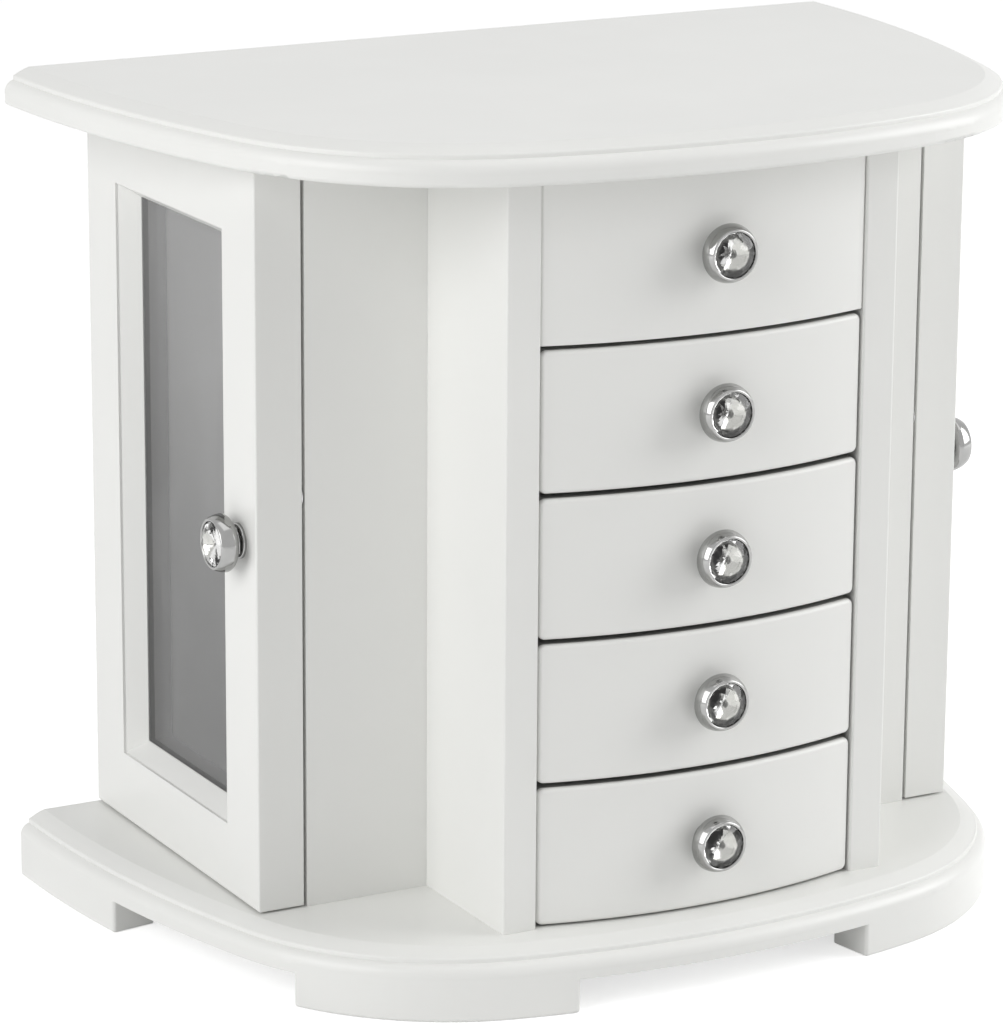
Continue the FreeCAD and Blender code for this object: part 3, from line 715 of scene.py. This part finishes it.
def piece_from(name: str, surfaces: list[tuple[np.ndarray, bool]], smooth: bool = True) -> bpy.types.Object:
    """Makes one object from one or more surfaces, with its place in its mesh.

    Points that coincide, at poles and seams, are merged, and the faces are turned outwards.

    Args:
        name: The object's name.
        surfaces: Each surface's (rows, columns, 3) points and whether its columns close.
        smooth: Whether it is shaded smooth.

    Returns:
        The new object.
    """
    points = []
    quads = []
    start = 0
    for surface, wrap in surfaces:
        rows, columns = surface.shape[:2]
        points.append(surface.reshape(-1, 3))
        quads.append(grid_quads(rows, columns, wrap) + start)
        start += rows * columns
    mesh = bpy.data.meshes.new(name)
    mesh.from_pydata(np.concatenate(points).tolist(), [], np.concatenate(quads).tolist())
    work = bmesh.new()
    work.from_mesh(mesh)
    bmesh.ops.remove_doubles(work, verts=work.verts, dist=2e-6)
    bmesh.ops.dissolve_degenerate(work, edges=work.edges, dist=1e-7)
    bmesh.ops.recalc_face_normals(work, faces=work.faces)
    work.to_mesh(mesh)
    work.free()
    mesh.polygons.foreach_set("use_smooth", [smooth] * len(mesh.polygons))
    made = bpy.data.objects.new(name, mesh)
    bpy.context.scene.collection.objects.link(made)
    return made


def give(made: bpy.types.Object, material: bpy.types.Material, body: str,
         replaced: tuple[str, ...] = ()) -> bpy.types.Object:
    """Dresses a new piece and says what it rides on and stands for.

    Args:
        made: The piece.
        material: Its finish.
        body: The CAD body that it moves with.
        replaced: CAD nodes that it stands for.

    Returns:
        The same piece.
    """
    made.data.materials.append(material)
    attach(made, body)
    if replaced:
        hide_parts(*replaced)
    log.info("piece %s on %s: %d faces", made.name, body, len(made.data.polygons))
    return made


def rounded_loop(half_x: np.ndarray, half_y: np.ndarray, radius: np.ndarray, count: int) -> np.ndarray:
    """Loops round rectangles with round corners, one row for each set of sizes.

    The angle runs round four quarter circles, a quarter of the points to each, whose centres lie
    one radius inside the rectangle's corners. The straight sides are the steps between them.

    Args:
        half_x: Half width of each loop.
        half_y: Half depth of each loop.
        radius: Corner radius of each loop.
        count: Points on a loop, a multiple of four.

    Returns:
        Points of shape (loops, count, 2).
    """
    quarter = count // 4
    local = np.linspace(0.0, 0.5 * np.pi, quarter)
    angle = np.concatenate([local + k * 0.5 * np.pi for k in range(4)])
    sign_x = np.repeat([1.0, -1.0, -1.0, 1.0], quarter)
    sign_y = np.repeat([1.0, 1.0, -1.0, -1.0], quarter)
    r = np.minimum(radius, np.minimum(half_x, half_y))[:, None]
    x = sign_x * (half_x[:, None] - r) + r * np.cos(angle)
    y = sign_y * (half_y[:, None] - r) + r * np.sin(angle)
    return np.stack([x, y], axis=-1)


# Soft pieces

@dataclass
class RingRolls:
    """Padded rolls across the front of the tray, with slits between them for rings."""

    material: bpy.types.Material
    count: int = 6
    end_draw: float = 4.0 * MM
    gather: float = 0.36
    sag: float = 0.25 * MM
    dome_power: float = 2.7
    base_power: float = 9.0
    side_power: float = 3.6

    def _roll(self, low: Vector, high: Vector, index: int) -> np.ndarray:
        """One roll's surface.

        Its section is a superellipse, blunt below and domed above. Its size falls to nothing at
        both ends as a high power of the place, like a gathered cover, and three slow waves make
        it a little uneven.

        Args:
            low: Lowest corner of the space for all the rolls.
            high: Highest corner of that space.
            index: The roll's number from the front.

        Returns:
            The roll's points.
        """
        pitch = (high.y - low.y) / self.count
        centre_y = low.y + (index + 0.5) * pitch
        place = -np.cos(np.linspace(0.0, np.pi, 90))
        turn = np.linspace(0.0, 2.0 * np.pi, 56, endpoint=False)
        t, v = np.meshgrid(place, turn, indexing="ij")
        half = 0.5 * (high.x - low.x)
        power = half / self.end_draw
        draw = np.clip(1.0 - np.abs(t) ** power, 0.0, 1.0) ** self.gather
        upper = np.sin(v) > 0.0
        blunt = np.where(upper, self.dome_power, self.base_power)
        y = np.sign(np.cos(v)) * np.abs(np.cos(v)) ** (2.0 / self.side_power)
        z = np.sign(np.sin(v)) * np.abs(np.sin(v)) ** (2.0 / blunt)
        wave = (np.sin(9.0 * t + 1.7 * index) + np.sin(21.0 * t + 2.3 * index + v)
                + np.sin(34.0 * t - v + index)) / 3.0
        half_high = 0.5 * (high.z - low.z)
        x = half * t
        y = centre_y + 0.5 * pitch * y * draw
        z = low.z + half_high + half_high * z * draw
        z = np.where(upper, z - self.sag * (1.0 + wave) * draw, z)
        return np.stack([x, y, z], axis=-1)

    def build(self) -> None:
        """Builds all the rolls as one padded piece."""
        low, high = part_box("ring_rolls")
        surfaces = [(self._roll(low, high, index), True) for index in range(self.count)]
        made = piece_from("ring_roll_cushions", surfaces)
        give(made, self.material, "case", ("ring_rolls",))


@dataclass
class VelvetTray:
    """A velvet insert with a rolled rim, filleted inner corners and a soft floor."""

    material: bpy.types.Material
    wall: float = 1.0 * MM
    corner: float = 2.5 * MM
    fillet: float = 3.0 * MM
    loop_points: int = 96
    floor_rise: float = 0.35 * MM
    under_rows: int = 5
    floor_rows: int = 14

    def _profile(self, height: float) -> tuple[np.ndarray, np.ndarray]:
        """The insert's section as (distance in from its outer face, height).

        It runs up the outer face, over a half-round rim, down the inner face, round a quarter
        circle and in to where the flat floor starts.

        Args:
            height: The insert's height.

        Returns:
            The distances and the heights.
        """
        rim = np.linspace(0.0, np.pi, 9)
        bend = np.linspace(0.0, 0.5 * np.pi, 8)
        half = 0.5 * self.wall
        rim_in = half - half * np.cos(rim)
        rim_up = height - half + half * np.sin(rim)
        bend_in = self.wall + self.fillet * (1.0 - np.cos(bend))
        bend_up = self.wall + self.fillet * (1.0 - np.sin(bend))
        inward = np.concatenate([[0.0, 0.0], rim_in, bend_in])
        upward = np.concatenate([[0.0, 0.5 * height], rim_up, bend_up])
        return inward, upward

    def _surface(self, low: Vector, high: Vector) -> np.ndarray:
        """The insert's closed skin: rounded loops at each step of the profile, and both floors.

        Inside the floor's edge the loops shrink evenly to the middle, where the floor rises a
        little like a padded board.

        Args:
            low: The insert's lowest corner.
            high: The insert's highest corner.

        Returns:
            The skin's points.
        """
        inward, upward = self._profile(high.z - low.z)
        half_x = 0.5 * (high.x - low.x)
        half_y = 0.5 * (high.y - low.y)
        shrink = np.linspace(0.92, 0.0, self.floor_rows)
        edge = self.wall + self.fillet
        floor_x = (half_x - edge) * shrink
        floor_y = (half_y - edge) * shrink
        floor_up = self.wall + self.floor_rise * np.sin(0.5 * np.pi * (1.0 - shrink)) ** 0.6
        under = np.linspace(0.0, 1.0, self.under_rows, endpoint=False)
        all_x = np.concatenate([half_x * under, half_x - inward, floor_x])
        all_y = np.concatenate([half_y * under, half_y - inward, floor_y])
        all_z = np.concatenate([np.zeros(self.under_rows), upward, floor_up]) + low.z
        drawn_in = np.concatenate([np.zeros(self.under_rows), inward, np.full(self.floor_rows, edge)])
        radius = np.maximum(self.corner - drawn_in, 0.6 * MM)
        loops = rounded_loop(all_x, all_y, radius, self.loop_points)
        centre = np.array([0.5 * (low.x + high.x), 0.5 * (low.y + high.y)])
        height = np.broadcast_to(all_z[:, None, None], loops.shape[:2] + (1,))
        return np.concatenate([loops + centre, height], axis=-1)

    def build(self, name: str, low: Vector, high: Vector, body: str,
              replaced: tuple[str, ...] = ()) -> None:
        """Builds one insert between two corners.

        Args:
            name: The piece's name.
            low: The insert's lowest corner.
            high: The insert's highest corner.
            body: The body that it moves with.
            replaced: CAD nodes that it stands for.
        """
        made = piece_from(name, [(self._surface(low, high), True)])
        give(made, self.material, body, replaced)


@dataclass
class SideLinings:
    """Velvet on the back, the inner wall and the corner post of both side compartments; the post's darker
    velvet is painted shade.
    """

    pale: bpy.types.Material
    dark: bpy.types.Material
    thickness: float = 0.8 * MM
    post_thickness: float = 0.5 * MM
    bend_radius: float = 2.4 * MM
    post_bend: float = 0.8 * MM
    gap: float = 0.3 * MM
    post_width: float = 5.0 * MM

    def _sheet(self, side: Side, path: tuple[float, tuple[float, float], float], radius: float,
               thickness: float, span: tuple[float, float]) -> np.ndarray:
        """One bent sheet: a thin round-edged strip carried along an L with a round corner.

        The path runs along Y to the corner, turns a quarter circle and runs outwards along X. The
        strip's section is a blunt superellipse, thin across the sheet and as tall as its span.

        Args:
            side: The side of the box.
            path: Y of its start, its corner as (distance from the middle plane, Y), and how far
                from the middle plane it ends.
            radius: Radius of the bend.
            thickness: Thickness of the sheet.
            span: Lower and upper edge.

        Returns:
            The sheet's points.
        """
        start_y, (corner_x, corner_y), end_x = path
        way = math.copysign(1.0, corner_y - start_y)
        turn = np.linspace(0.0, 0.5 * np.pi, 12)
        run_in = np.linspace(start_y, corner_y - way * radius, 24)[:-1]
        run_out = np.linspace(corner_x + radius, end_x, 24)[1:]
        path_x = np.concatenate([np.full(len(run_in), corner_x), corner_x + radius * (1.0 - np.cos(turn)),
                                 run_out])
        path_y = np.concatenate([run_in, corner_y - way * radius * (1.0 - np.sin(turn)),
                                 np.full(len(run_out), corner_y)])
        step = np.gradient(np.stack([path_x, path_y], axis=-1), axis=0)
        step /= np.linalg.norm(step, axis=1, keepdims=True)
        across = np.stack([step[:, 1], -step[:, 0]], axis=-1)
        around = np.linspace(0.0, 2.0 * np.pi, 40, endpoint=False)
        bulge = 0.5 * thickness * np.sign(np.cos(around)) * np.abs(np.cos(around)) ** 0.25
        rise = np.sign(np.sin(around)) * np.abs(np.sin(around)) ** 0.5
        taper = np.ones(len(path_x))
        taper[[0, -1]] = 0.0
        x = path_x[:, None] + across[:, :1] * bulge * taper[:, None]
        y = path_y[:, None] + across[:, 1:] * bulge * taper[:, None]
        z = 0.5 * (span[0] + span[1]) + 0.5 * (span[1] - span[0]) * np.broadcast_to(rise, x.shape)
        return np.stack([side.value * x, y, z], axis=-1)

    def build(self) -> None:
        """Builds the linings of both sides, and the covers of both posts."""
        low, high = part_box("side_liners")
        wall_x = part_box("block_side_right")[1].x + self.gap + 0.5 * self.thickness
        case_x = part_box("back_panel")[1].x
        span = (low.z, high.z)
        back_y = high.y - 0.5 * self.thickness
        post_x = case_x - self.post_width - 0.5 * self.post_thickness
        post_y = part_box("corner_posts")[0].y - 0.5 * self.post_thickness
        lining = (low.y, (wall_x, back_y), post_x - self.post_thickness)
        cover = (back_y, (post_x, post_y), case_x - self.gap)
        sheets = [(self._sheet(side, lining, self.bend_radius, self.thickness, span), True)
                  for side in Side]
        covers = [(self._sheet(side, cover, self.post_bend, self.post_thickness, span), True)
                  for side in Side]
        give(piece_from("side_compartment_velvet", sheets), self.pale, "case", ("side_liners",))
        # The posts' covers are a darker velvet, painted shade.
        give(piece_from("corner_post_shade_velvet", covers), self.dark, "case")


# Small fasteners

@dataclass
class HingeScrews:
    """Countersunk cross-head screws in the hinge leaves."""

    material: bpy.types.Material
    head_radius: float = 1.55 * MM
    dome: float = 0.35 * MM
    slot_depth: float = 0.55 * MM
    slot_width: float = 0.34 * MM
    slot_reach: float = 0.78
    leaf_back: float = 0.8 * MM
    leaf_reach: float = 6.6 * MM
    leaf_half: float = 12.0 * MM
    seat_depth: float = 0.1 * MM
    lid_hinge_x: float = 78.0 * MM
    lid_screw_step: float = 10.0 * MM
    door_screw_step: float = 7.5 * MM

    def _head(self, x: float, y: float, z: float, twist: float) -> np.ndarray:
        """One screw head facing +Y.

        A dome over a disc: its height falls with the square of the radius, less a cross whose two
        arms are ramps in the distance from two crossed lines.

        Args:
            x: Place of the head's middle along X.
            y: Place of its seat along Y.
            z: Place of its middle along Z.
            twist: How far its cross is turned.

        Returns:
            The head's points.
        """
        radius = np.concatenate([np.linspace(0.0, 1.0, 18), [1.0]]) * self.head_radius
        angle = np.linspace(0.0, 2.0 * np.pi, 48, endpoint=False)
        r, a = np.meshgrid(radius, angle, indexing="ij")
        u = r * np.cos(a)
        w = r * np.sin(a)
        share = r / self.head_radius
        rise = self.dome * (1.0 - share ** 2)
        arm_u = np.clip((self.slot_width - np.abs(u)) / (0.4 * self.slot_width), 0.0, 1.0)
        arm_w = np.clip((self.slot_width - np.abs(w)) / (0.4 * self.slot_width), 0.0, 1.0)
        reach = np.clip((self.slot_reach - share) / 0.1, 0.0, 1.0)
        rise = rise - self.slot_depth * np.maximum(arm_u, arm_w) * reach
        rise[-1] = -self.seat_depth
        c = math.cos(twist)
        s = math.sin(twist)
        return np.stack([x + u * c - w * s, y + rise, z + u * s + w * c], axis=-1)

    def _row(self, name: str, places: list[tuple[float, float, float]], body: str) -> None:
        """Builds the screws of one body as one piece.

        Args:
            name: The piece's name.
            places: The middle of each head.
            body: The body that they move with.
        """
        heads = [(self._head(*place, 0.7 * index), True) for index, place in enumerate(places)]
        give(piece_from(name, heads), self.material, body)

    def build(self) -> None:
        """Builds the screws on the case, the lid and both doors."""
        lid_low, lid_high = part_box("lid_board")
        case_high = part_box("back_panel")[1]
        face_y = lid_high.y + self.leaf_back
        axis_z = 0.5 * (lid_low.z + case_high.z)
        across = [side.value * self.lid_hinge_x + step for side in Side
                  for step in (-self.lid_screw_step, self.lid_screw_step)]
        on_lid = [(x, face_y, axis_z + self.leaf_reach) for x in across]
        on_case = [(x, face_y, axis_z - self.leaf_reach) for x in across]
        for side in Side:
            name = side.name.lower()
            fit_low, fit_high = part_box("door_fittings_" + name)
            door_low, door_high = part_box("door_frame_" + name)
            inner = min(abs(door_low.x), abs(door_high.x))
            hinge_x = 0.5 * (inner + case_high.x)
            heights = [centre + step for centre in (fit_low.z + self.leaf_half, fit_high.z - self.leaf_half)
                       for step in (-self.door_screw_step, self.door_screw_step)]
            self._row("door_hinge_screws_" + name,
                      [(side.value * (hinge_x + self.leaf_reach), face_y, z) for z in heights],
                      "door_" + name)
            on_case += [(side.value * (hinge_x - self.leaf_reach), face_y, z) for z in heights]
        self._row("lid_hinge_screws", on_lid, "lid")
        self._row("case_hinge_screws", on_case, "case")


# Linings of the whole box

@dataclass
class Interior:
    """Everything soft inside the box."""

    velvet: bpy.types.Material
    pale_velvet: bpy.types.Material
    post_shade_velvet: bpy.types.Material
    drawer_count: int = 4
    divider_half: float = 2.2 * MM

    def build(self) -> None:
        """Builds the ring rolls, the drawer and tray inserts and the side linings."""
        RingRolls(self.velvet).build()
        insert = VelvetTray(self.velvet)
        for index in range(self.drawer_count):
            number = str(index + 1)
            low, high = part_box("drawer_liner_" + number)
            insert.build("drawer_velvet_" + number, low, high, "drawer_" + number,
                         ("drawer_liner_" + number,))
        low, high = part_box("tray_liners")
        left_end = Vector((-self.divider_half, high.y, high.z))
        right_start = Vector((self.divider_half, low.y, low.z))
        tray = VelvetTray(self.velvet, wall=1.2 * MM)
        tray.build("tray_velvet_left", low, left_end, "case", ("tray_liners",))
        tray.build("tray_velvet_right", right_start, high, "case")
        SideLinings(self.pale_velvet, self.post_shade_velvet).build()


# Studio

@dataclass
class PhotoCamera:
    """The camera at the photograph's place, found by fitting the box's edges."""

    place: tuple[float, float, float] = (-0.70946, -1.25179, 0.52321)
    azimuth: float = -28.503
    elevation: float = 15.063
    roll: float = 0.346
    focal_pixels: float = 4665.34
    centre: tuple[float, float] = (496.13, 488.26)
    image: tuple[int, int] = (1003, 1024)
    sensor: float = 36.0

    def build(self) -> None:
        """Makes the camera and gives it to the scene.

        Its forward axis comes from azimuth and elevation, and right and up are turned by the
        roll. The lens and the small shift come from the fitted focal length and image centre.
        """
        a = math.radians(self.azimuth)
        e = math.radians(self.elevation)
        r = math.radians(self.roll)
        forward = Vector((-math.sin(a) * math.cos(e), math.cos(a) * math.cos(e), -math.sin(e)))
        right = Vector((math.cos(a), math.sin(a), 0.0))
        up = right.cross(forward)
        turned_right = math.cos(r) * right + math.sin(r) * up
        turned_up = math.cos(r) * up - math.sin(r) * right
        data = bpy.data.cameras.new("photo_camera")
        long_side = max(self.image)
        data.sensor_width = self.sensor
        data.lens = self.focal_pixels / long_side * self.sensor
        data.shift_x = (0.5 * self.image[0] - self.centre[0]) / long_side
        data.shift_y = (self.centre[1] - 0.5 * self.image[1]) / long_side
        data.clip_start = 0.01
        data.clip_end = 60.0
        camera = bpy.data.objects.new("photo_camera", data)
        turn = Matrix((turned_right, turned_up, -forward)).transposed()
        camera.matrix_world = Matrix.Translation(Vector(self.place)) @ turn.to_4x4()
        bpy.context.scene.collection.objects.link(camera)
        bpy.context.scene.camera = camera
        log.info("camera: lens %.1f mm, shift %.4f %.4f", data.lens, data.shift_x, data.shift_y)


@dataclass(frozen=True)
class SoftBox:
    """A large square lamp aimed at a point."""

    name: str
    place: tuple[float, float, float]
    aim: tuple[float, float, float]
    size: float
    watts: float

    def build(self) -> None:
        """Makes the lamp. The camera doesn't see it."""
        data = bpy.data.lights.new(self.name, "AREA")
        data.shape = "SQUARE"
        data.size = self.size
        data.energy = self.watts
        lamp = bpy.data.objects.new(self.name, data)
        turn = (Vector(self.place) - Vector(self.aim)).to_track_quat("Z", "Y").to_matrix()
        lamp.matrix_world = Matrix.Translation(Vector(self.place)) @ turn.to_4x4()
        lamp.visible_camera = False
        bpy.context.scene.collection.objects.link(lamp)


@dataclass
class Studio:
    """A pale floor, soft boxes and a plain white background.

    Attributes:
        ambient: Strength of the light from all round.
        floor_half: Half the floor's width.
        floor_colour: The floor's colour.
        floor_lift: How much the floor's seen colour is lifted.
        aim: What the lamps point at, in the middle of the box.
    """

    ambient: float = 0.34
    floor_half: float = 9.0
    floor_colour: tuple[float, float, float] = (0.82, 0.82, 0.82)
    floor_lift: float = 0.6
    aim: tuple[float, float, float] = (0.0, 0.0, 0.13)

    def _seen(self, desk: Desk) -> Value:
        """1 for camera, glossy and transmission rays, and 0 for the rest."""
        rays = desk.node("ShaderNodeLightPath")
        camera = Value(desk, rays.outputs["Is Camera Ray"])
        glossy = Value(desk, rays.outputs["Is Glossy Ray"])
        through = Value(desk, rays.outputs["Is Transmission Ray"])
        return (camera + glossy + through).clamped()

    def _floor(self) -> None:
        """A flat pale sheet whose seen colour is lifted to white, and which keeps its shadow."""
        span = np.linspace(-self.floor_half, self.floor_half, 9)
        x, y = np.meshgrid(span, span, indexing="ij")
        sheet = np.stack([x, y, np.zeros_like(x)], axis=-1)
        floor = piece_from("studio_floor", [(sheet, False)])
        desk = Desk("pale_floor")
        mottle = desk.noise(3.0, 3.0)
        colour = desk.blend(mottle, rgba(self.floor_colour), rgba(self.floor_colour, 0.99))
        shader = desk.node("ShaderNodeBsdfPrincipled", None,
                           {"Base Color": colour, "Roughness": 0.85, "Emission Strength": 1.0})
        lift = self._seen(desk) * self.floor_lift
        shade = desk.blend(lift, (0.0, 0.0, 0.0, 1.0), (1.0, 1.0, 1.0, 1.0))
        desk.tree.links.new(shade.socket, shader.inputs["Emission Color"])
        floor.data.materials.append(desk.finish(Value(desk, shader.outputs[0])))

    def _world(self) -> None:
        """A grey ambient light behind a background that is white wherever it is seen."""
        world = bpy.data.worlds.new("studio")
        world.use_nodes = True
        desk = Desk("world_desk")
        desk.tree = world.node_tree
        desk.tree.nodes.clear()
        output = desk.tree.nodes.new("ShaderNodeOutputWorld")
        level = self.ambient + self._seen(desk) * (1.0 - self.ambient)
        backdrop = desk.value("ShaderNodeBackground", None,
                              {"Color": (1.0, 1.0, 1.0, 1.0), "Strength": level})
        desk.tree.links.new(backdrop.socket, output.inputs["Surface"])
        bpy.data.materials.remove(desk.material)
        bpy.context.scene.world = world

    def build(self) -> None:
        """Builds the floor, the background and the lamps."""
        self._floor()
        self._world()
        SoftBox("left_soft_box", (-1.5, -0.35, 0.75), self.aim, 1.2, 14.3).build()
        SoftBox("right_soft_box", (1.5, -0.7, 0.83), self.aim, 1.2, 19.5).build()
        SoftBox("top_soft_box", (0.0, -0.1, 1.7), self.aim, 1.3, 4.3).build()
        bpy.context.scene.view_settings.view_transform = "Standard"


def main() -> None:
    """Builds the looks in order."""
    logging.basicConfig(level=logging.INFO, format="%(message)s")
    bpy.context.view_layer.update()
    finishes = Finishes()
    finishes.build()
    finishes.dress_frame(frame["record"], frame["nodes"])
    made = finishes.made
    Interior(made["velvet"], made["silver_velvet"], made["post_shade_velvet"]).build()
    HingeScrews(made["plated_steel"]).build()
    PhotoCamera().build()
    Studio().build()


if __name__ == "__main__":
    main()
